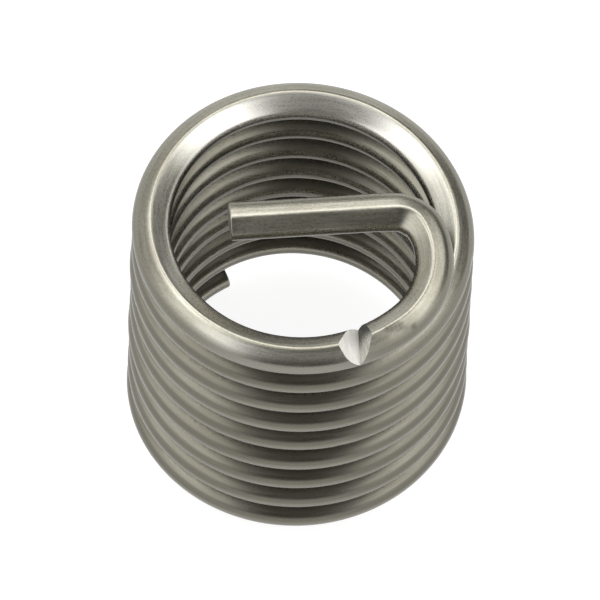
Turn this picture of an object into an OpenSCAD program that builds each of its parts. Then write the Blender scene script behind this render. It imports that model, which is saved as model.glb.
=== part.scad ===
// Wire thread insert: a right-hand coil of diamond-section stainless wire, wound a little larger
// than the tapped hole that it goes into, with a break-off notch and a drive tang at its top end.
// Millimetres. The coil's axis is Z, its free end lies on z = 0 and its tang is on top.

/* [Coil] */
// Diameter of the free coil over its outer crests
coil_od = 12.4; // [11.8:0.1:13.6]
// Width of the flanks that grip the tapped hole, from the side corners out to the outer crest
outer_flank = 0.65; // [0.5:0.01:0.8]
// Width of the flanks that carry the screw, from the side corners in to the inner crest
inner_flank = 0.75; // [0.6:0.01:0.9]
// Turns of wire from the free end to the break-off notch
turns = 8.475; // [3:0.005:14]
// Axial gap between the side corners of one turn and the next
turn_gap = 0.09; // [0.05:0.01:0.4]
// Direction of the notch round the coil, from the X axis
notch_at = -66.5; // [-180:0.5:180]

/* [Wire] */
// Height of the wire along the coil's axis, over its rounded side corners
wire_h = 1.31; // [1.25:0.01:1.6]
// Included angle of the thread that the flanks form
thread_angle = 60; // [56:1:62]
// Rounding of the two side corners
corner_r = 0.2; // [0.05:0.01:0.25]

/* [Break-off notch] */
// Depth of the notch below the upper side corner of the wire
notch_depth = 0.78; // [0.4:0.01:0.95]
// Included angle of the notch
notch_angle = 74; // [50:1:85]
// Lean of the notch towards the coil's side of it, so that this wall is the flatter one
notch_lean = 9; // [0:1:12]
// Turn of the notch's bottom away from the coil's radius, about the side corner
notch_skew = -18; // [-25:1:25]

/* [Tang] */
// Turn of the wire from the notch to the start of the tang's bend
tang_lead_in = 19.5; // [16:0.5:40]
// Turn of the open first part of the bend
open_bend = 76; // [60:1:90]
// Turn of the tight second part of the bend
tight_bend = 69.5; // [55:0.5:80]
// Inside radius of the tight part, at the wire's inner crest
tight_bend_r = 0.37; // [0.2:0.01:0.7]
// Reach of the tang's tip past the coil's axis
tang_reach = 2.7; // [0.5:0.1:3.4]
// Roll of the tang's wire about its own run, its outer crest upwards
tang_roll = 23; // [0:1:35]

/* [Hidden] */

// Sides of the faceted surface
sides_per_turn = 36;
crest_sides = 4;
corner_sides = 2;
open_bend_sides = 9;
tight_bend_sides = 8;
straight_sides = 3;

// Helix through the wire's side corners
corner_path_r = coil_od / 2 - outer_flank;
lead = wire_h + turn_gap;
rise_per_mm = lead / (2 * PI * corner_path_r);
notch_z = wire_h / 2 + turns * lead;

// Wire section: radial offset from the side corners, then height above the mid plane
flank_tilt = thread_angle / 2;
sharp_half_h = wire_h / 2 + corner_r * (1 / cos(flank_tilt) - 1);
sharp_half_w = sharp_half_h / tan(flank_tilt);
corner_centre_h = wire_h / 2 - corner_r;

// Radius and centre of the round crest that two flanks lead to, at a given width of flank
function crest_r(flank) = (sharp_half_w - flank) / (1 / sin(flank_tilt) - 1);
function crest_centre(flank) = flank - crest_r(flank);
function arc(centre, r, from, to, sides) =
    [for (i = [0 : sides]) let (a = from + (to - from) * i / sides) centre + r * [cos(a), sin(a)]];

wire_section = concat(
    arc([crest_centre(outer_flank), 0], crest_r(outer_flank), flank_tilt - 90, 90 - flank_tilt, crest_sides),
    arc([0, corner_centre_h], corner_r, 90 - flank_tilt, 90 + flank_tilt, corner_sides),
    arc([-crest_centre(inner_flank), 0], crest_r(inner_flank), 90 + flank_tilt, 270 - flank_tilt, crest_sides),
    arc([0, -corner_centre_h], corner_r, 270 - flank_tilt, 270 + flank_tilt, corner_sides));

// Run of the wire in plan, as headings: the coil, an open bend, a tight bend and the straight tang
bend_at = notch_at + tang_lead_in;
bend_start = corner_path_r * [cos(bend_at), sin(bend_at)];
coil_heading = bend_at + 90;
open_heading = coil_heading + open_bend;
tang_heading = open_heading + tight_bend;
tight_path_r = inner_flank + tight_bend_r;

// Chord of a left-hand arc of radius 1 between two headings
function chord(from, to) = [sin(to) - sin(from), cos(from) - cos(to)];

// The open bend's radius is the one that brings the straight tang across the coil's axis
tang_side = [sin(tang_heading), -cos(tang_heading)];
open_path_r = -(bend_start + tight_path_r * chord(open_heading, tang_heading)) * tang_side
    / (chord(coil_heading, open_heading) * tang_side);
tight_start = bend_start + open_path_r * chord(coil_heading, open_heading);
straight_start = tight_start + tight_path_r * chord(open_heading, tang_heading);
tang_dir = [cos(tang_heading), sin(tang_heading)];
straight_len = tang_reach - straight_start * tang_dir;

// Lengths of wire from the start of the bend
open_len = open_path_r * open_bend * PI / 180;
bend_len = open_len + tight_path_r * tight_bend * PI / 180;

// A station is [point of the run in plan, height of the wire's middle, heading, roll]
function coil_station(a) =
    [corner_path_r * [cos(a), sin(a)], notch_z + (a - notch_at) * lead / 360, a + 90, 0];
bend_z = coil_station(bend_at)[1];
function bend_station(start, r, from, turned, before) =
    let (run = before + r * turned * PI / 180)
    [start + r * chord(from, from + turned), bend_z + run * rise_per_mm, from + turned, tang_roll * run / bend_len];
function straight_station(along) =
    [straight_start + along * tang_dir, bend_z + (bend_len + along) * rise_per_mm, tang_heading, tang_roll];

coil_turn = turns * 360 + tang_lead_in;
coil_sides = ceil(coil_turn * sides_per_turn / 360);
stations = concat(
    [for (i = [0 : coil_sides]) coil_station(bend_at - coil_turn * (1 - i / coil_sides))],
    [for (i = [1 : open_bend_sides])
        bend_station(bend_start, open_path_r, coil_heading, open_bend * i / open_bend_sides, 0)],
    [for (i = [1 : tight_bend_sides])
        bend_station(tight_start, tight_path_r, open_heading, tight_bend * i / tight_bend_sides, open_len)],
    [for (i = [1 : straight_sides]) straight_station(straight_len * i / straight_sides)]);

// The section set square to the run at one station
function section_at(station) =
    let (side = [sin(station[2]), -cos(station[2])], turn = station[3])
    [for (q = wire_section)
        let (out = q[0] * cos(turn) - q[1] * sin(turn), up = q[0] * sin(turn) + q[1] * cos(turn))
        [station[0][0] + side[0] * out, station[0][1] + side[1] * out, station[1] + up]];

module wire() {
    n = len(wire_section);
    last = len(stations) - 1;
    polyhedron(
        points = [for (s = stations) each section_at(s)],
        faces = concat(
            [[for (j = [0 : n - 1]) j]],
            [for (i = [0 : last - 1], j = [0 : n - 1])
                let (a = i * n + j, b = i * n + (j + 1) % n) each [[a, a + n, b], [b, a + n, b + n]]],
            [[for (j = [n - 1 : -1 : 0]) last * n + j]]),
        convexity = 12);
}

// The prism that the break-off notch is cut with, its bottom edge across the wire
module notch_cutter() {
    over = 1;
    tall = notch_depth + wire_h / 2;
    bottom_z = notch_z + wire_h / 2 - notch_depth;
    rotate([0, 0, notch_at])
        translate([corner_path_r, 0, bottom_z])
            rotate([0, 0, notch_skew])
                translate([-inner_flank - over, 0, 0])
                    rotate([90, 0, 90])
                        linear_extrude(inner_flank + outer_flank + 2 * over)
                            polygon([
                                [0, 0],
                                [tall * tan(notch_angle / 2 - notch_lean), tall],
                                [-tall * tan(notch_angle / 2 + notch_lean), tall]]);
}

module wire_insert() {
    color([0.56, 0.55, 0.52])
        difference() {
            wire();
            notch_cutter();
        }
}

wire_insert();
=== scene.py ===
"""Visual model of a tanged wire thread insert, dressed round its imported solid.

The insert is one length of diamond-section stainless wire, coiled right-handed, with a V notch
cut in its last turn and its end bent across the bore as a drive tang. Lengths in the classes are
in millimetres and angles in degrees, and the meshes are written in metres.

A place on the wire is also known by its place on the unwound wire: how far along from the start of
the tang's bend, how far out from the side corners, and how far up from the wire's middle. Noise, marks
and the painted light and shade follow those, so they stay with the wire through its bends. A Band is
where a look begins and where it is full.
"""

import logging
import math
from dataclasses import dataclass, field
from enum import Enum
from functools import reduce

import bmesh
import bpy
import numpy as np
from mathutils import Matrix, Vector


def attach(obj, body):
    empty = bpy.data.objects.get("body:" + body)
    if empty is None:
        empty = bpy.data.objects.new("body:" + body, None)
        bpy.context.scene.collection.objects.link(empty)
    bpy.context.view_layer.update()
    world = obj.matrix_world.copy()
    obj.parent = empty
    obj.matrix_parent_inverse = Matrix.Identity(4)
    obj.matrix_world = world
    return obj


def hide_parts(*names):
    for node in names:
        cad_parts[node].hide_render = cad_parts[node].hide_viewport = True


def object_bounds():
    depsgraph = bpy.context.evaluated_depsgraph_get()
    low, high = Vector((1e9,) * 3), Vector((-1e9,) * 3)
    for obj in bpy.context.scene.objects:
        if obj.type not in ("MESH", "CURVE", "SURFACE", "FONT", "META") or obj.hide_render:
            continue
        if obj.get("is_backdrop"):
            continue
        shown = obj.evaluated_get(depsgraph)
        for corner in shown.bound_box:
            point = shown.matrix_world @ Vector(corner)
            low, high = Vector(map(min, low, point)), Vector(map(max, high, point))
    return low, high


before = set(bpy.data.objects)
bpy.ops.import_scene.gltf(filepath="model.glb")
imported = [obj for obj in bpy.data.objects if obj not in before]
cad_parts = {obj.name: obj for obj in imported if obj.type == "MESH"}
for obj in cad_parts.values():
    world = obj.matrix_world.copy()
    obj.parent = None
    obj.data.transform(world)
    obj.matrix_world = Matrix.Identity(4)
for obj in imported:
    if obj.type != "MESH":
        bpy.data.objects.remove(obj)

MM = 0.001
NODE = "wire_insert"
BODY = "root"
RUN_ATTRIBUTE = "unwound"

Band = tuple[float, float]
Colour = tuple[float, float, float]
Place = tuple[float, float, float]

log = logging.getLogger("wire_insert_scene")


def add_object(name: str, data: bpy.types.ID) -> bpy.types.Object:
    """Adds an object to the scene's collection.

    Args:
        name: The object's name.
        data: Its mesh, light or camera.

    Returns:
        The object.
    """
    piece = bpy.data.objects.new(name, data)
    bpy.context.scene.collection.objects.link(piece)
    return piece


class WireFace(Enum):
    """Material index of each kind of surface on the wire."""

    DRAWN = 0
    # Notch wall on the coil's side: cut metal with painted light in its near-white colour.
    MILLED = 1
    # Notch wall on the tang's side: the same cut metal painted darker, as painted shade.
    BURNISHED = 2
    SHEARED = 3


class Stretch(Enum):
    """Cycles of a noise per millimetre along the wire, across it and over its height."""

    CLOUD = (0.30, 0.8, 0.8)
    DRAW_LINE = (0.8, 15.0, 15.0)
    HAIRLINE = (2.0, 55.0, 55.0)
    GRAIN = (9.0, 14.0, 14.0)
    SPECKLE = (26.0, 30.0, 30.0)
    MILLED = (7.0, 0.8, 7.0)


class Sock:
    """A shader value with arithmetic: each operator adds a Math node."""

    def __init__(self, tree: "ShaderTree", socket: bpy.types.NodeSocket) -> None:
        """Wraps one output socket.

        Args:
            tree: The tree that the socket's node is in.
            socket: The output socket.
        """
        self.tree = tree
        self.socket = socket

    def _math(self, operation: str, first: "Sock | float", second: "Sock | float" = 0.0) -> "Sock":
        """Value of a new Math node."""
        return self.tree.add("ShaderNodeMath", {"operation": operation}, {0: first, 1: second})

    def __add__(self, other: "Sock | float") -> "Sock":
        """Sum of two values."""
        return self._math("ADD", self, other)

    def __radd__(self, other: float) -> "Sock":
        """Sum with a number on the left."""
        return self._math("ADD", other, self)

    def __sub__(self, other: "Sock | float") -> "Sock":
        """Difference of two values."""
        return self._math("SUBTRACT", self, other)

    def __rsub__(self, other: float) -> "Sock":
        """Difference from a number on the left."""
        return self._math("SUBTRACT", other, self)

    def __mul__(self, other: "Sock | float") -> "Sock":
        """Product of two values."""
        return self._math("MULTIPLY", self, other)

    def __rmul__(self, other: float) -> "Sock":
        """Product with a number on the left."""
        return self._math("MULTIPLY", other, self)

    def __abs__(self) -> "Sock":
        """Value without its sign."""
        return self._math("ABSOLUTE", self)

    def larger(self, other: "Sock | float") -> "Sock":
        """Larger of two values."""
        return self._math("MAXIMUM", self, other)

    def step(self, band: Band) -> "Sock":
        """Smooth step of the value.

        Args:
            band: Where the step is 0 and where it is 1.

        Returns:
            The step.
        """
        start, end = band
        return self.tree.add(
            "ShaderNodeMapRange",
            {"interpolation_type": "SMOOTHSTEP"},
            {"Value": self, "From Min": start, "From Max": end},
        )

    def between(self, rise: Band, fall: Band) -> "Sock":
        """Step up over one band and down again over a later one.

        Args:
            rise: Band of the step up.
            fall: Band of the step down.

        Returns:
            1 between the bands, and 0 beyond them.
        """
        return self.step(rise) * (1 - self.step(fall))


def blend(weights: "tuple[float, ...]", *values: Sock) -> Sock:
    """Weighted sum of shader values.

    Args:
        weights: One weight for each value.
        values: The values.

    Returns:
        The sum.
    """
    return sum(weight * value for weight, value in zip(weights, values))


@dataclass(frozen=True)
class Bump:
    """Fine relief of a surface: its strength, and its height in millimetres."""

    strength: float
    height: float


@dataclass(frozen=True)
class Unwound:
    """Place on the unwound wire, as shader values in millimetres."""

    place: Sock
    along: Sock
    out: Sock
    up: Sock


class ShaderTree:
    """A node tree under construction, for a material or for the world."""

    def __init__(self, tree: bpy.types.NodeTree) -> None:
        """Empties the tree.

        Args:
            tree: The node tree to build in.
        """
        self.tree = tree
        self.tree.nodes.clear()

    def add(
        self,
        kind: str,
        settings: "dict[str, object] | None" = None,
        inputs: "dict[str | int, object] | None" = None,
        output: "str | int" = 0,
    ) -> Sock:
        """Adds a node: its settings first, then its socket values and links.

        Args:
            kind: The node's type name.
            settings: Attribute values of the node.
            inputs: Values or Sock links, by socket name or number.
            output: Name or number of the output to return.

        Returns:
            The chosen output, or the empty output of an end node.
        """
        node = self.tree.nodes.new(kind)
        for name, value in (settings or {}).items():
            setattr(node, name, value)
        for name, value in (inputs or {}).items():
            if isinstance(value, Sock):
                self.tree.links.new(value.socket, node.inputs[name])
            else:
                node.inputs[name].default_value = value
        return Sock(self, node.outputs[output] if node.outputs else None)

    def other(self, made: Sock, output: str) -> Sock:
        """Finds another output of the node that made a value.

        Args:
            made: The value.
            output: Name of the other output.

        Returns:
            That output.
        """
        return Sock(self, made.socket.node.outputs[output])

    def parts(self, vector: Sock) -> "tuple[Sock, Sock, Sock]":
        """Splits a vector.

        Args:
            vector: The vector.

        Returns:
            Its X, Y and Z.
        """
        first = self.add("ShaderNodeSeparateXYZ", inputs={"Vector": vector})
        return first, self.other(first, "Y"), self.other(first, "Z")

    def mix(self, share: Sock, low: "Sock | Colour", high: "Sock | Colour") -> Sock:
        """Mixes two colours.

        Args:
            share: Share of the second colour.
            low: First colour.
            high: Second colour.

        Returns:
            The mixed colour.
        """
        low, high = (c if isinstance(c, Sock) else (*c, 1.0) for c in (low, high))
        return self.add("ShaderNodeMix", {"data_type": "RGBA"}, {0: share, 6: low, 7: high}, output=2)

    def unwound(self) -> Unwound:
        """Reads the place on the unwound wire from the mesh.

        Returns:
            The place and its parts.
        """
        place = self.add(
            "ShaderNodeAttribute", {"attribute_name": RUN_ATTRIBUTE, "attribute_type": "GEOMETRY"}, output="Vector"
        )
        return Unwound(place, *self.parts(place))

    def noise(self, place: Sock, stretch: Stretch, octaves: float = 2.0, finer: float = 0.5) -> Sock:
        """Noise that is stretched along the wire.

        Args:
            place: Place on the unwound wire.
            stretch: Its cycles per millimetre.
            octaves: Octaves of the noise.
            finer: Strength of each finer octave.

        Returns:
            The noise value, about 0.5 on average.
        """
        scaled = self.add("ShaderNodeVectorMath", {"operation": "MULTIPLY"}, {0: place, 1: stretch.value})
        return self.add(
            "ShaderNodeTexNoise",
            {"noise_dimensions": "3D"},
            {"Vector": scaled, "Scale": 1.0, "Detail": octaves, "Roughness": finer},
        )

    def metal(self, colour: Sock, metallic: float, rough: Sock, relief: Sock, bump: Bump) -> None:
        """Ends a material's tree with a bare metal surface.

        Args:
            colour: Its colour.
            metallic: How much of a metal it is, from 0 to 1.
            rough: Its roughness.
            relief: Its fine relief, where 1 is the bump's full height.
            bump: Strength and height of the relief.
        """
        normal = self.add(
            "ShaderNodeBump", inputs={"Strength": bump.strength, "Distance": bump.height * MM, "Height": relief}
        )
        surface = self.add(
            "ShaderNodeBsdfPrincipled",
            inputs={"Base Color": colour, "Metallic": metallic, "Roughness": rough, "Normal": normal},
        )
        self.add("ShaderNodeOutputMaterial", inputs={"Surface": surface})


def new_material(name: str) -> "tuple[bpy.types.Material, ShaderTree]":
    """Makes a material.

    Args:
        name: The material's name.

    Returns:
        The material, and its empty tree.
    """
    made = bpy.data.materials.new(name)
    made.use_nodes = True
    return made, ShaderTree(made.node_tree)


@dataclass(frozen=True)
class DarkSpot:
    """Dark spot on the unwound wire."""

    centre: Place
    radius: float
    fray: float = 0.12

    def share(self, place: Sock, ragged: Sock) -> Sock:
        """Share of the spot at a place.

        Args:
            place: Place on the unwound wire.
            ragged: Noise that frays the rim.

        Returns:
            The share: 1 at the centre, 0 at the rim.
        """
        away = place.tree.add(
            "ShaderNodeVectorMath", {"operation": "DISTANCE"}, {0: place, 1: self.centre}, output="Value"
        )
        return 1 - (away + self.fray * (ragged - 0.5)).step((0.0, self.radius))


@dataclass(frozen=True)
class DrawnWireFinish:
    """Satin stainless wire as it leaves the rolls: draw lines, pits and dark spots, painted shade on the crests
    and between the turns, and painted light and shade on the last turn's open upper flank.

    Bands named for a turn are in turns from the bend. Those of the tone and the pits are in the noise's
    own values, and the others are in millimetres.
    """

    dark: Colour = (0.31, 0.295, 0.242)
    light: Colour = (0.52, 0.503, 0.438)
    # Colour of the painted shade in the grooves and on the inner crests, and of the pits and dark spots.
    shade_and_spots: Colour = (0.08, 0.074, 0.059)
    # Colour of the painted shade on the outer crests and on the last turn's outer rim.
    crest: Colour = (0.17, 0.161, 0.134)
    # Pale colour painted as light on the last turn's bore side, and on a lighter stretch of its rim.
    inside: Colour = (0.93, 0.915, 0.87)
    tone_weights: "tuple[float, ...]" = (0.40, 0.35, 0.25)
    tone_band: Band = (0.38, 0.68)

    # Places on the wire
    turn_length: float = 34.9
    upper_half: Band = (-0.02, 0.02)
    last_turn: Band = (-1.15, -1.0)
    tang_start: Band = (-0.5, 1.5)
    corner_up: Band = (0.56, 0.64)
    outer_half: Band = (-0.12, 0.08)
    outer_crest: Band = (0.34, 0.60)
    inner_crest: Band = (-0.70, -0.54)
    inner_crest_up: Band = (0.04, 0.24)
    bore_side: Band = (-0.16, 0.0)
    groove_up: Band = (0.30, 0.58)
    shoulder_rise: Band = (0.04, 0.16)
    shoulder_fall: Band = (0.30, 0.44)
    shoulder_out: Band = (0.1, 0.4)

    # Shares of the painted shade and painted light, and of the pits and dark spots
    # Share of the painted shade on the outer crests.
    crest_share: float = 0.85
    inner_crest_share: float = 0.80
    inner_groove: float = 0.07
    groove_share: float = 0.85
    groove_spread: float = 0.8
    shoulder_share: float = 0.45
    # Share of the painted light on the last turn's bore side.
    bore_share: float = 0.24
    # Turns where the bore side of the last turn gets its full painted light.
    painted_bore_light_turn: "tuple[Band, Band]" = ((-0.86, -0.68), (-0.54, -0.38))
    # Share of the painted shade on the last turn's outer rim.
    rim_share: float = 0.45
    lighter_rim_share: float = 0.5
    lighter_rim_turn: "tuple[Band, Band]" = ((-0.24, -0.17), (-0.08, -0.03))
    pit_band: Band = (0.72, 0.80)
    pit_share: float = 0.35
    dark_spot_share: float = 0.62
    dark_spots: "tuple[DarkSpot, ...]" = (
        DarkSpot((-0.86, 0.10, 0.62), 0.20),
        DarkSpot((-0.70, 0.13, 0.61), 0.24),
        DarkSpot((-0.54, 0.16, 0.59), 0.26),
        DarkSpot((-0.40, 0.20, 0.57), 0.26),
        DarkSpot((0.01, 0.47, 0.40), 0.20),
    )

    # Roughness and relief
    metallic: float = 1.0
    base_rough: float = 0.18
    rough_spread: float = 0.20
    rough_weights: "tuple[float, ...]" = (0.6, 0.4)
    groove_rough: float = 0.08
    corner_rough: float = 0.02
    relief_weights: "tuple[float, ...]" = (0.55, 0.25, 0.18, -0.3, -0.4)
    bump: Bump = Bump(0.55, 0.006)

    def _painted_groove_shade(self, at: Unwound, top_flank: Sock, grain: Sock) -> Sock:
        """Painted shade between the turns, where each turn shades the next.

        Args:
            at: Place on the unwound wire.
            top_flank: Share of the last turn's open upper flank, which no turn shades and which gets no painted
                shade.
            grain: Noise that breaks the painted shade up.

        Returns:
            The share of painted shade.
        """
        inside = 1 - at.out.step(self.outer_half)
        # Painted shade deep in the grooves, deeper inside the bore, and on the upper flank just under the turn
        # above.
        groove = (abs(at.up) + self.inner_groove * inside).step(self.groove_up)
        shoulder = at.up.between(self.shoulder_rise, self.shoulder_fall) * at.out.step(self.shoulder_out)
        speckled = self.groove_share + self.groove_spread * (grain - 0.5)
        return (self.shoulder_share * shoulder).larger(groove) * (1 - top_flank) * speckled

    def _top_flank_light_and_shade(self, at: Unwound, turn: Sock, top_flank: Sock, by_corner: Sock) -> "tuple[Sock, Sock]":
        """Painted shade and light on the last turn's open upper flank, up to the tang.

        Args:
            at: Place on the unwound wire.
            turn: Turns from the bend.
            top_flank: Share of that flank.
            by_corner: Share of the side corners.

        Returns:
            The share of painted shade on the outer rim, and the share of the pale colour: painted light on the
            bore side, and a lighter stretch of rim.
        """
        flank = top_flank * (1 - at.along.step(self.tang_start))
        by_bore = (1 - at.out.step(self.bore_side)) * flank
        # Painted light on the bore side, over part of the last turn.
        painted_bore_light = by_bore * turn.between(*self.painted_bore_light_turn)
        by_rim = at.out.step(self.outer_half) * (1 - by_corner) * flank
        # A lighter stretch of the rim, where the painted rim shade gives way to the pale colour.
        lighter_rim = by_rim * turn.between(*self.lighter_rim_turn)
        lightened = (self.bore_share * by_bore).larger(painted_bore_light).larger(self.lighter_rim_share * lighter_rim)
        return self.rim_share * (by_rim - lighter_rim), lightened

    def material(self) -> bpy.types.Material:
        """Builds the wire's material.

        Returns:
            The finished material.
        """
        made, tree = new_material("drawn_wire")
        at = tree.unwound()
        cloud = tree.noise(at.place, Stretch.CLOUD, octaves=3.0)
        lines = tree.noise(at.place, Stretch.DRAW_LINE, octaves=4.0, finer=0.6)
        hairs = tree.noise(at.place, Stretch.HAIRLINE)
        grain = tree.noise(at.place, Stretch.GRAIN, octaves=3.0)
        specks = tree.noise(at.place, Stretch.SPECKLE, octaves=1.0)

        turn = at.along * (1 / self.turn_length)
        top_flank = at.up.step(self.upper_half) * turn.step(self.last_turn)
        by_corner = abs(at.up).step(self.corner_up)
        # Painted shade on the lower side of the inner crests, which dims their reflection of the floor.
        by_inner_crest = (1 - at.out.step(self.inner_crest)) * (1 - at.up.step(self.inner_crest_up))
        # Painted shade in the grooves between the turns.
        painted_groove_shade = self._painted_groove_shade(at, top_flank, grain)
        # Painted shade on the last turn's outer rim, and painted light on its bore side.
        painted_rim_shade, lightened = self._top_flank_light_and_shade(at, turn, top_flank, by_corner)
        pits = specks.step(self.pit_band)
        spotted = reduce(Sock.larger, (dark_spot.share(at.place, grain) for dark_spot in self.dark_spots))

        tone = blend(self.tone_weights, cloud, lines, grain).step(self.tone_band)
        colour = tree.mix(tone, self.dark, self.light)
        colour = tree.mix(painted_rim_shade, colour, self.crest)
        colour = tree.mix(lightened, colour, self.inside)
        # Painted shade on the outer crests, which dims their reflection of the floor.
        colour = tree.mix(self.crest_share * at.out.step(self.outer_crest), colour, self.crest)
        # Painted shade in the grooves and on the inner crests, together with the wire's pits, in one dark colour.
        shade_and_pits = painted_groove_shade.larger(self.inner_crest_share * by_inner_crest).larger(self.pit_share * pits)
        colour = tree.mix(shade_and_pits, colour, self.shade_and_spots)
        colour = tree.mix(self.dark_spot_share * spotted, colour, self.shade_and_spots)
        rough = self.base_rough + self.rough_spread * blend(self.rough_weights, lines, grain)
        rough = rough + self.groove_rough * painted_groove_shade + self.corner_rough * by_corner
        relief = blend(self.relief_weights, lines, hairs, grain, pits, spotted)
        tree.metal(colour, self.metallic, rough, relief, self.bump)
        return made


@dataclass(frozen=True)
class CutFinish:
    """Bare metal that a tool has just cut, with the marks of its edge, and painted shade towards the bore where
    its share is set.
    """

    name: str
    dark: Colour
    light: Colour
    # Colour of the painted shade towards the bore.
    bore_shade: Colour
    bore_shade_share: float
    base_rough: float
    metallic: float
    marks: Stretch
    tone_weights: "tuple[float, ...]" = (0.6, 0.4)
    tone_band: Band = (0.38, 0.62)
    bore_shade_out: Band = (-0.40, 0.15)
    bore_shade_fray: float = 0.3
    rough_spread: float = 0.16
    relief_weights: "tuple[float, ...]" = (0.7, 0.3)
    bump: Bump = Bump(0.6, 0.008)

    def material(self) -> bpy.types.Material:
        """Builds the cut's material.

        Returns:
            The finished material.
        """
        made, tree = new_material(self.name)
        at = tree.unwound()
        marks = tree.noise(at.place, self.marks, octaves=3.0, finer=0.6)
        grain = tree.noise(at.place, Stretch.GRAIN, octaves=3.0)
        # Painted shade towards the bore, with a frayed edge.
        by_bore = 1 - (at.out + self.bore_shade_fray * (grain - 0.5)).step(self.bore_shade_out)
        tone = blend(self.tone_weights, marks, grain).step(self.tone_band)
        colour = tree.mix(tone, self.dark, self.light)
        colour = tree.mix(self.bore_shade_share * by_bore, colour, self.bore_shade)
        rough = self.base_rough + self.rough_spread * grain
        tree.metal(colour, self.metallic, rough, blend(self.relief_weights, marks, grain), self.bump)
        return made


FINISHES = {
    WireFace.DRAWN: DrawnWireFinish(),
    # The coil's notch wall: a near-white colour as painted light, with a little painted shade towards the bore.
    WireFace.MILLED: CutFinish(
        "notch_wall_painted_light",
        dark=(0.84, 0.835, 0.80),
        light=(0.98, 0.975, 0.95),
        bore_shade=(0.52, 0.51, 0.47),
        bore_shade_share=0.25,
        base_rough=0.36,
        metallic=0.10,
        marks=Stretch.MILLED,
    ),
    # The tang's notch wall: the same cut painted darker as painted shade, darkest towards the bore.
    WireFace.BURNISHED: CutFinish(
        "notch_wall_painted_shade",
        dark=(0.46, 0.45, 0.41),
        light=(0.66, 0.65, 0.60),
        bore_shade=(0.05, 0.047, 0.04),
        bore_shade_share=0.90,
        base_rough=0.30,
        metallic=0.50,
        marks=Stretch.MILLED,
    ),
    WireFace.SHEARED: CutFinish(
        "sheared_end",
        dark=(0.34, 0.33, 0.30),
        light=(0.56, 0.55, 0.52),
        bore_shade=(0.34, 0.33, 0.30),
        bore_shade_share=0.0,
        base_rough=0.34,
        metallic=1.0,
        marks=Stretch.DRAW_LINE,
    ),
}


@dataclass
class WireSection:
    """Diamond section of the wire, as offsets out from its side corners and up from its middle."""

    height: float = 1.31
    outer_flank: float = 0.65
    inner_flank: float = 0.75
    thread_angle: float = 60.0
    corner_r: float = 0.20
    crest_sides: int = 10
    corner_sides: int = 4
    flank_sides: int = 4

    @staticmethod
    def _arc(centre: "tuple[float, float]", radius: float, start: float, end: float, sides: int) -> np.ndarray:
        """Points of one arc of the outline.

        Args:
            centre: The arc's centre, out and up.
            radius: Its radius.
            start: Angle of its first point.
            end: Angle of its last point.
            sides: Number of sides.

        Returns:
            The points, both ends included, one row a point.
        """
        angle = np.radians(np.linspace(start, end, sides + 1))
        return np.array(centre) + radius * np.stack([np.cos(angle), np.sin(angle)], 1)

    def crest_r(self, flank: float) -> float:
        """Radius of the round crest that two flanks lead to.

        Args:
            flank: Width of the flanks, from the side corners to the crest.

        Returns:
            The radius.
        """
        tilt = math.radians(self.thread_angle / 2)
        sharp_half_h = self.height / 2 + self.corner_r * (1 / math.cos(tilt) - 1)
        return (sharp_half_h / math.tan(tilt) - flank) / (1 / math.sin(tilt) - 1)

    def outline(self) -> np.ndarray:
        """Points round the section, anticlockwise from the lower outer flank.

        Returns:
            An array of offset and height, one row a point.
        """
        tilt = self.thread_angle / 2
        outer_r, inner_r = self.crest_r(self.outer_flank), self.crest_r(self.inner_flank)
        corner_h = self.height / 2 - self.corner_r
        arcs = [
            self._arc((self.outer_flank - outer_r, 0), outer_r, tilt - 90, 90 - tilt, self.crest_sides),
            self._arc((0, corner_h), self.corner_r, 90 - tilt, 90 + tilt, self.corner_sides),
            self._arc((inner_r - self.inner_flank, 0), inner_r, 90 + tilt, 270 - tilt, self.crest_sides),
            self._arc((0, -corner_h), self.corner_r, 270 - tilt, 270 + tilt, self.corner_sides),
        ]
        rows = []
        for arc, after in zip(arcs, arcs[1:] + arcs[:1]):
            rows.append(arc)
            share = np.linspace(0, 1, self.flank_sides + 1)[1:-1, None]
            rows.append(arc[-1] + share * (after[0] - arc[-1]))
        return np.concatenate(rows)

    @staticmethod
    def inset(outline: np.ndarray, depth: float) -> np.ndarray:
        """Outline moved in square to itself.

        Args:
            outline: Points round the section.
            depth: How far in they move.

        Returns:
            The smaller outline.
        """
        along = np.roll(outline, -1, 0) - np.roll(outline, 1, 0)
        along /= np.linalg.norm(along, axis=1, keepdims=True)
        return outline - depth * np.stack([along[:, 1], -along[:, 0]], 1)


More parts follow.
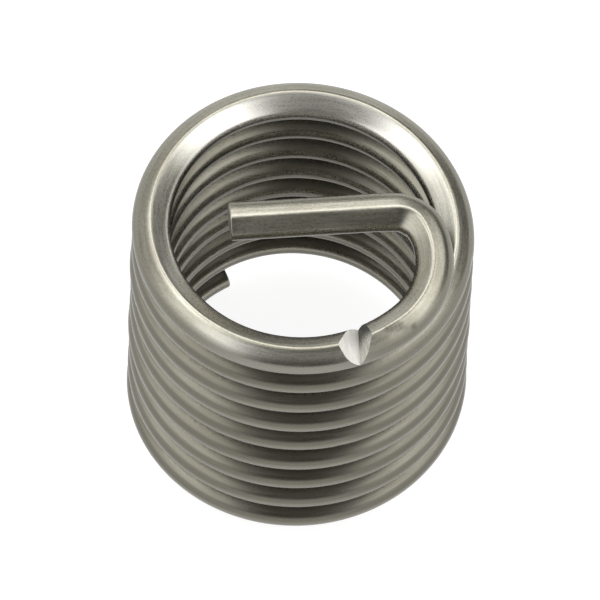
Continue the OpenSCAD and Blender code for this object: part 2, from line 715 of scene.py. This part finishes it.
@dataclass
class WireRun:
    """Line of the wire's side corners: the coil, an open bend, a tight bend and the straight tang."""

    corner_path_r: float
    tight_path_r: float
    lead: float
    foot_z: float
    turns: float = 8.475
    notch_at: float = -66.5
    tang_lead_in: float = 19.5
    open_bend: float = 76.0
    tight_bend: float = 69.5
    tang_reach: float = 2.7
    tang_roll: float = 23.0
    bend_spread: float = 0.55
    coil_steps: int = 150
    bend_steps: int = 26
    straight_steps: int = 22

    @property
    def rise(self) -> float:
        """Rise of the wire for each millimetre of its run."""
        return self.lead / (2 * math.pi * self.corner_path_r)

    @property
    def notch_z(self) -> float:
        """Height of the wire's middle at the notch."""
        return self.foot_z + self.turns * self.lead

    @staticmethod
    def _towards(angle: "float | np.ndarray") -> np.ndarray:
        """Unit vectors in plan at angles from the X axis."""
        way = np.radians(angle)
        return np.stack([np.cos(way), np.sin(way)], -1)

    @classmethod
    def _chord(cls, start: "float | np.ndarray", end: "float | np.ndarray") -> np.ndarray:
        """Chord of a left-hand arc of radius 1 between two headings."""
        return cls._towards(end - 90) - cls._towards(start - 90)

    @staticmethod
    def _steps(end: float, count: int) -> np.ndarray:
        """Even steps from 0 to a value, without the 0."""
        return end * np.linspace(0, 1, count + 1)[1:]

    def stations(self) -> "dict[str, np.ndarray]":
        """Works out every station of the run.

        Returns:
            Arrays by name: plan, height, heading, roll, run and bend, which is 1 amid the tight bend.
        """
        bend_at = self.notch_at + self.tang_lead_in
        corner = self.corner_path_r * self._towards(bend_at)
        coil_heading = bend_at + 90
        open_heading = coil_heading + self.open_bend
        tang_heading = open_heading + self.tight_bend
        tang_dir, tang_side = self._towards(tang_heading), self._towards(tang_heading - 90)
        open_chord = self._chord(coil_heading, open_heading)
        tight_chord = self.tight_path_r * self._chord(open_heading, tang_heading)
        open_r = -float((corner + tight_chord) @ tang_side) / float(open_chord @ tang_side)
        tight_start = corner + open_r * open_chord
        straight_start = tight_start + tight_chord
        open_len = open_r * math.radians(self.open_bend)
        bend_len = open_len + self.tight_path_r * math.radians(self.tight_bend)
        straight_len = self.tang_reach - float(straight_start @ tang_dir)

        coil_turn = self.turns * 360 + self.tang_lead_in
        angle = bend_at - coil_turn * np.linspace(1, 0, int(self.coil_steps * coil_turn / 360) + 1)
        opened = self._steps(self.open_bend, self.bend_steps)
        tightened = self._steps(self.tight_bend, self.bend_steps)
        straight = self._steps(straight_len, self.straight_steps)
        plan = np.concatenate([
            self.corner_path_r * self._towards(angle),
            corner + open_r * self._chord(coil_heading, coil_heading + opened),
            tight_start + self.tight_path_r * self._chord(open_heading, open_heading + tightened),
            straight_start + straight[:, None] * tang_dir,
        ])
        run = np.concatenate([
            np.radians(angle - bend_at) * self.corner_path_r,
            open_r * np.radians(opened),
            open_len + self.tight_path_r * np.radians(tightened),
            bend_len + straight,
        ])
        heading = np.concatenate([
            angle + 90, coil_heading + opened, open_heading + tightened, np.full_like(straight, tang_heading)
        ])
        bend_z = self.notch_z + self.tang_lead_in * self.lead / 360
        from_tight_middle = run - (open_len + bend_len) / 2
        return {
            "plan": plan,
            "height": bend_z + run * self.rise,
            "heading": heading,
            "roll": self.tang_roll * np.clip(run / bend_len, 0, 1),
            "run": run,
            "bend": np.exp(-(from_tight_middle / (self.bend_spread * (bend_len - open_len))) ** 2),
        }


@dataclass
class BreakOffNotch:
    """V notch across the wire, its bottom skewed from the coil's radius."""

    at: float
    corner_path_r: float
    top_z: float
    depth: float = 0.78
    angle: float = 74.0
    lean: float = 9.0
    skew: float = -18.0

    # How far from the notch the mesh is touched, and the small distances that decide which points
    # merge, which faces are cut away and which points lie on a wall
    reach: float = 2.4
    merge: float = 1e-5
    clear: float = 1e-6
    on_wall: float = 2e-4

    def walls(self) -> "tuple[Vector, tuple[Vector, Vector]]":
        """Planes of the two walls.

        Returns:
            A point on the notch's bottom, and each wall's outward normal, the one on the coil's side first.
        """
        place = Matrix.Rotation(math.radians(self.at), 4, "Z")
        place = place @ Matrix.Translation((self.corner_path_r, 0, self.top_z - self.depth))
        place = place @ Matrix.Rotation(math.radians(self.skew), 4, "Z")
        coil_tilt = math.radians(self.angle / 2 + self.lean)
        tang_tilt = math.radians(self.angle / 2 - self.lean)
        coil_wall = Vector((0, math.cos(coil_tilt), math.sin(coil_tilt)))
        tang_wall = Vector((0, -math.cos(tang_tilt), math.sin(tang_tilt)))
        turned = place.to_3x3()
        return place.to_translation(), (turned @ coil_wall, turned @ tang_wall)

    def _near(self, wire: bmesh.types.BMesh, point: Vector) -> "list[bmesh.types.BMFace]":
        """Faces within reach of the notch's bottom."""
        return [f for f in wire.faces if (f.calc_center_median() - point).length < self.reach]

    def cut(self, wire: bmesh.types.BMesh) -> int:
        """Cuts the notch and closes its two walls.

        Args:
            wire: The wire's mesh, in millimetres.

        Returns:
            The number of wall faces made.
        """
        point, normals = self.walls()
        for normal in normals:
            parts = list({g for f in self._near(wire, point) for g in (f, *f.edges, *f.verts)})
            bmesh.ops.bisect_plane(wire, geom=parts, dist=self.merge, plane_co=point, plane_no=normal)
        inside = [
            f for f in self._near(wire, point)
            if all((f.calc_center_median() - point).dot(normal) > self.clear for normal in normals)
        ]
        bmesh.ops.delete(wire, geom=inside, context="FACES")
        return self._close(wire, point, normals)

    def _close(self, wire: bmesh.types.BMesh, point: Vector, normals: "tuple[Vector, Vector]") -> int:
        """Fills the two walls that the cut left open.

        Args:
            wire: The wire's mesh.
            point: A point on the notch's bottom.
            normals: The two walls' normals.

        Returns:
            The number of faces made.
        """
        edges = [e for e in wire.edges if e.is_boundary]
        verts = {v for e in edges for v in e.verts}
        bottom = [v for v in verts if all(abs((v.co - point).dot(n)) < self.on_wall for n in normals)]
        bottom.sort(key=lambda v: v.co.xy.length)
        wire.edges.new((bottom[0], bottom[-1]))
        made = 0
        # The coil's wall gets the painted light, the tang's wall the painted shade.
        for normal, look in zip(normals, (WireFace.MILLED, WireFace.BURNISHED)):
            rim = [v for v in verts if abs((v.co - point).dot(normal)) < self.on_wall]
            rim_edges = [e for e in edges if e.verts[0] in rim and e.verts[1] in rim]
            loop = self._ordered(rim_edges, bottom[0], bottom[-1])
            face = wire.faces.new(loop)
            face.material_index = look.value
            face.normal_update()
            if face.normal.dot(normal) < 0:
                face.normal_flip()
            made += 1
        return made

    @staticmethod
    def _ordered(
        edges: "list[bmesh.types.BMEdge]", start: bmesh.types.BMVert, end: bmesh.types.BMVert
    ) -> "list[bmesh.types.BMVert]":
        """Follows a chain of edges.

        Args:
            edges: The chain's edges, in any order.
            start: Its first vertex.
            end: Its last vertex.

        Returns:
            The vertices in order.
        """
        chain, left = [start], list(edges)
        while chain[-1] != end:
            step = next(e for e in left if chain[-1] in e.verts)
            left.remove(step)
            chain.append(step.other_vert(chain[-1]))
        return chain


@dataclass(frozen=True)
class Wave:
    """One slow stray of the hand-wound coil: its size, its cycles a turn and its phase in radians."""

    size: float
    cycles: float
    phase: float = 0.0

    def at(self, turn: np.ndarray) -> np.ndarray:
        """Stray at that many turns from the bend."""
        return self.size * np.sin(2 * math.pi * self.cycles * turn + self.phase)


@dataclass(frozen=True)
class Nick:
    """Small dent at a place on the unwound wire."""

    run: float
    out: float
    up: float
    radius: float
    depth: float


NICKS_BY_NOTCH = (Nick(-0.15, 0.55, 0.30, 0.17, 0.11), Nick(-0.47, 0.40, 0.42, 0.15, 0.09))
NICKS_ON_CREST = (
    Nick(-31.0, 0.64, 0.05, 0.30, 0.030),
    Nick(-78.0, 0.60, 0.20, 0.26, 0.026),
    Nick(-142.0, 0.64, -0.05, 0.28, 0.030),
    Nick(-199.0, 0.62, 0.12, 0.22, 0.026),
)


@dataclass
class WireInsert:
    """The insert: a notched, tanged coil of wire."""

    coil_od: float = 12.4
    turn_gap: float = 0.09
    tight_bend_r: float = 0.37
    edge_r: float = 0.05
    edge_steps: int = 4
    sharp_angle: float = 38.0
    outer_squeeze: float = 0.10
    inner_bulge: float = 0.12
    bend_swell: float = 0.03
    calm_turns: float = 0.6
    out_waves: "tuple[Wave, ...]" = (Wave(0.018, 0.37, 0.8), Wave(0.012, 1.31, 2.1))
    up_waves: "tuple[Wave, ...]" = (Wave(0.016, 0.53, 1.7), Wave(0.009, 1.17))
    nicks: "tuple[Nick, ...]" = NICKS_BY_NOTCH + NICKS_ON_CREST
    section: WireSection = field(default_factory=WireSection)

    def __post_init__(self) -> None:
        """Places the run and the notch from the section's sizes."""
        path_r = self.coil_od / 2 - self.section.outer_flank
        self.run = WireRun(
            corner_path_r=path_r,
            tight_path_r=self.section.inner_flank + self.tight_bend_r,
            lead=self.section.height + self.turn_gap,
            foot_z=self.section.height / 2,
        )
        top = self.run.notch_z + self.section.height / 2
        self.notch = BreakOffNotch(at=self.run.notch_at, corner_path_r=path_r, top_z=top)

    def _hand_wound(self, run: np.ndarray) -> "tuple[np.ndarray, np.ndarray]":
        """Small unevenness of the coil: how far out and how far up the wire strays.

        Args:
            run: Length of wire from the bend.

        Returns:
            Offsets out and up.
        """
        turn = run / (2 * math.pi * self.run.corner_path_r)
        fade = np.clip(-turn / self.calm_turns, 0, 1)
        out, up = (sum(wave.at(turn) for wave in waves) for waves in (self.out_waves, self.up_waves))
        return out * fade, up * fade

    def _dented(self, run: np.ndarray, offsets: np.ndarray) -> np.ndarray:
        """Pushes the section's points in at each nick.

        Args:
            run: Length of wire from the bend, at each ring.
            offsets: Every ring's points, out and up.

        Returns:
            The dented rings.
        """
        for nick in self.nicks:
            gap = np.stack([
                np.broadcast_to((run - nick.run)[:, None], offsets.shape[:2]),
                offsets[..., 0] - nick.out,
                offsets[..., 1] - nick.up,
            ], -1)
            share = np.clip(1 - (np.linalg.norm(gap, axis=-1) / nick.radius) ** 2, 0, 1) ** 2
            inward = -np.array([nick.out, nick.up]) / math.hypot(nick.out, nick.up)
            offsets = offsets + (nick.depth * share)[..., None] * inward
        return offsets

    @staticmethod
    def _resampled(at: np.ndarray, run: np.ndarray, values: np.ndarray) -> np.ndarray:
        """Reads values of the run's stations at other lengths of wire.

        Args:
            at: Lengths to read at.
            run: Lengths of the stations.
            values: Their values, one or more to a station.

        Returns:
            The values at those lengths.
        """
        if values.ndim == 1:
            return np.interp(at, run, values)
        return np.stack([np.interp(at, run, column) for column in values.T], 1)

    def _rings(self) -> "tuple[np.ndarray, np.ndarray]":
        """Points of every ring of the wire, with its two rounded ends.

        Returns:
            The points in the part's frame, and their places on the unwound wire.
        """
        path = self.run.stations()
        outline = self.section.outline()
        turn = np.radians(np.linspace(0, 90, self.edge_steps + 1))
        back, depth = self.edge_r * (1 - np.sin(turn)), self.edge_r * (1 - np.cos(turn))
        first, last = path["run"][0], path["run"][-1]
        between = path["run"][(path["run"] > first + 2 * self.edge_r) & (path["run"] < last - 2 * self.edge_r)]
        run = np.concatenate([(first + back)[::-1], between, last - back])
        inset = np.concatenate([depth[::-1], np.zeros(len(between)), depth])
        full = {name: self._resampled(run, path["run"], values) for name, values in path.items()}
        offsets = np.stack([self.section.inset(outline, d) if d > 0 else outline for d in inset])
        return self._place(full, self._dented(full["run"], offsets))

    def _place(self, path: "dict[str, np.ndarray]", offsets: np.ndarray) -> "tuple[np.ndarray, np.ndarray]":
        """Sets each ring square to the run, thinner outside the tight bend and fuller inside it.

        Args:
            path: The run's stations.
            offsets: Every ring's points, out and up.

        Returns:
            The points in the part's frame, and their places on the unwound wire.
        """
        squeeze = path["bend"][:, None]
        width = np.where(offsets[..., 0] > 0, 1 - self.outer_squeeze * squeeze, 1 + self.inner_bulge * squeeze)
        out = offsets[..., 0] * width
        up = offsets[..., 1] * (1 + self.bend_swell * squeeze)
        roll = np.radians(path["roll"])[:, None]
        side, lift = out * np.cos(roll) - up * np.sin(roll), out * np.sin(roll) + up * np.cos(roll)
        stray_out, stray_up = self._hand_wound(path["run"])
        side, lift = side + stray_out[:, None], lift + stray_up[:, None]
        heading = np.radians(path["heading"])[:, None]
        points = np.stack([
            path["plan"][:, :1] + np.sin(heading) * side,
            path["plan"][:, 1:] - np.cos(heading) * side,
            path["height"][:, None] + lift,
        ], -1)
        unwound = np.concatenate([np.broadcast_to(path["run"][:, None, None], (*out.shape, 1)), offsets], -1)
        return points, unwound

    def build(self) -> bpy.types.Object:
        """Builds the wire's mesh object.

        Returns:
            The object, in the scene's collection.
        """
        points, unwound = self._rings()
        rings, sides = points.shape[:2]
        wire = bmesh.new()
        layer = wire.verts.layers.float_vector.new(RUN_ATTRIBUTE)
        verts = [wire.verts.new(p) for p in points.reshape(-1, 3)]
        for vert, place in zip(verts, unwound.reshape(-1, 3)):
            vert[layer] = Vector(place)
        for i in range(rings - 1):
            for j in range(sides):
                a, b = i * sides + j, i * sides + (j + 1) % sides
                wire.faces.new((verts[a], verts[b], verts[b + sides], verts[a + sides]))
        for ring in (verts[:sides][::-1], verts[-sides:]):
            wire.faces.new(ring).material_index = WireFace.SHEARED.value
        bmesh.ops.recalc_face_normals(wire, faces=wire.faces)
        log.info("notch: %d walls", self.notch.cut(wire))
        bmesh.ops.triangulate(wire, faces=[f for f in wire.faces if len(f.verts) > 4])
        bmesh.ops.scale(wire, vec=(MM, MM, MM), verts=wire.verts)
        mesh = bpy.data.meshes.new("coiled_wire")
        wire.to_mesh(mesh)
        wire.free()
        mesh.shade_smooth()
        mesh.set_sharp_from_angle(angle=math.radians(self.sharp_angle))
        return add_object("coiled_wire", mesh)

    def dress(self, piece: bpy.types.Object) -> None:
        """Gives the wire its finishes and ties it to the frame.

        Args:
            piece: The wire's object.
        """
        for face in WireFace:
            piece.data.materials.append(FINISHES[face].material())
        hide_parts(NODE)
        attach(piece, BODY)
        log.info("%s: %d vertices, %d faces", piece.name, len(piece.data.vertices), len(piece.data.polygons))


@dataclass(frozen=True)
class Studio:
    """White floor and soft light: brightest over the back, dim low on the right, dark on the camera's side."""

    floor_half: float = 600.0
    floor_drop: float = 0.015
    floor_colour: Colour = (0.28, 0.28, 0.28)
    floor_lift: float = 0.90

    lamp_place: Place = (-120.0, 60.0, 420.0)
    lamp_side: float = 320.0
    lamp_level: float = 0.6

    # Light from each direction
    horizon: Colour = (1.22, 1.22, 1.20)
    near: Colour = (1.45, 1.445, 1.41)
    left: Colour = (0.70, 0.695, 0.67)
    right: Colour = (0.13, 0.127, 0.118)
    high: Colour = (2.60, 2.59, 2.52)
    over: Colour = (0.62, 0.615, 0.60)
    box: Colour = (3.20, 3.19, 3.12)
    dark: Colour = (0.115, 0.112, 0.102)

    # Bands of the direction's X, Y and Z
    left_to_right: Band = (-0.20, 0.30)
    near_to_far: Band = (-0.12, 0.30)
    horizon_up: Band = (0.08, 0.26)
    over_up: Band = (0.56, 0.80)
    high_up: Band = (0.56, 0.78)
    high_sides: Band = (0.30, 0.52)
    box_axis: Place = (0.0, 0.5, 0.866)
    box_edge: Band = (0.955, 0.99)
    opening_sides: Band = (0.32, 0.67)
    opening_back: Band = (-0.20, -0.10)
    opening_up: "tuple[Band, Band]" = ((0.0, 0.05), (0.94, 0.985))

    def floor(self) -> bpy.types.Object:
        """Builds the floor.

        Returns:
            The floor's object.
        """
        half = self.floor_half * MM
        mesh = bpy.data.meshes.new("floor")
        corners = [(-half, -half), (half, -half), (half, half), (-half, half)]
        mesh.from_pydata([(x, y, -self.floor_drop * MM) for x, y in corners], [], [(0, 1, 2, 3)])
        piece = add_object("floor", mesh)
        made, tree = new_material("pale_floor")
        camera_ray = tree.add("ShaderNodeLightPath", output="Is Camera Ray")
        seen = camera_ray.larger(tree.other(camera_ray, "Is Glossy Ray"))
        seen = seen.larger(tree.other(camera_ray, "Is Transmission Ray"))
        lit = tree.add("ShaderNodeBsdfDiffuse", inputs={"Color": (*self.floor_colour, 1.0)})
        glow = tree.add("ShaderNodeEmission", inputs={"Strength": seen * self.floor_lift})
        both = tree.add("ShaderNodeAddShader", inputs={0: lit, 1: glow})
        tree.add("ShaderNodeOutputMaterial", inputs={"Surface": both})
        mesh.materials.append(made)
        piece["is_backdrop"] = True
        return piece

    def surround(self) -> None:
        """Lights the scene from all round, by the direction in the world."""
        world = bpy.data.worlds.new("tent")
        bpy.context.scene.world = world
        world.use_nodes = True
        tree = ShaderTree(world.node_tree)
        way = tree.add("ShaderNodeTexCoord", output="Generated")
        x, y, z = tree.parts(way)
        walls = tree.mix(x.step(self.left_to_right), self.left, self.right)
        walls = tree.mix(y.step(self.near_to_far), self.near, walls)
        walls = tree.mix(z.step(self.horizon_up), self.horizon, walls)
        walls = tree.mix(z.step(self.over_up), walls, self.over)
        walls = tree.mix(z.step(self.high_up) * abs(x).step(self.high_sides), walls, self.high)
        walls = tree.mix(blend(self.box_axis, x, y, z).step(self.box_edge), walls, self.box)
        opening = (1 - abs(x).step(self.opening_sides)) * (1 - y.step(self.opening_back))
        light = tree.mix(opening * z.between(*self.opening_up), walls, self.dark)
        sky = tree.add("ShaderNodeBackground", inputs={"Color": light, "Strength": 1.0})
        tree.add("ShaderNodeOutputWorld", inputs={"Surface": sky})

    def lamp(self) -> None:
        """Hangs a square soft box that faces the insert."""
        light = bpy.data.lights.new("overhead_box", "AREA")
        light.shape, light.size = "SQUARE", self.lamp_side * MM
        light.energy = self.lamp_level * math.pi * light.size ** 2
        hung = add_object("overhead_box", light)
        hung.location = Vector(self.lamp_place) * MM
        hung.rotation_euler = (-hung.location).to_track_quat("-Z", "Y").to_euler()


@dataclass(frozen=True)
class CameraStand:
    """Long lens that looks down on the insert, as the photograph does."""

    elevation: float = 60.2
    lean: float = 2.7
    distance: float = 600.0
    shown_width: float = 21.8
    sensor: float = 36.0

    def build(self, target: Vector) -> bpy.types.Object:
        """Builds the scene's camera.

        Args:
            target: Point that the camera looks at, in metres.

        Returns:
            The camera's object.
        """
        data = bpy.data.cameras.new("camera")
        data.sensor_width = self.sensor
        data.lens = self.sensor * self.distance / self.shown_width
        rise = math.radians(self.elevation)
        back = Vector((0, -math.cos(rise), math.sin(rise)))
        camera = add_object("camera", data)
        camera.location = target + back * self.distance * MM
        look = (-back).to_track_quat("-Z", "Y").to_matrix()
        camera.rotation_euler = (look @ Matrix.Rotation(math.radians(self.lean), 3, "Z")).to_euler()
        bpy.context.scene.camera = camera
        return camera


def main() -> None:
    """Builds the insert and its studio."""
    logging.basicConfig(level=logging.INFO, format="%(message)s")
    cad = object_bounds()
    insert = WireInsert()
    insert.dress(insert.build())
    studio = Studio()
    studio.floor()
    studio.surround()
    studio.lamp()
    CameraStand().build((cad[0] + cad[1]) / 2)
    bpy.context.scene.view_settings.view_transform = "Standard"


if __name__ == "__main__":
    main()
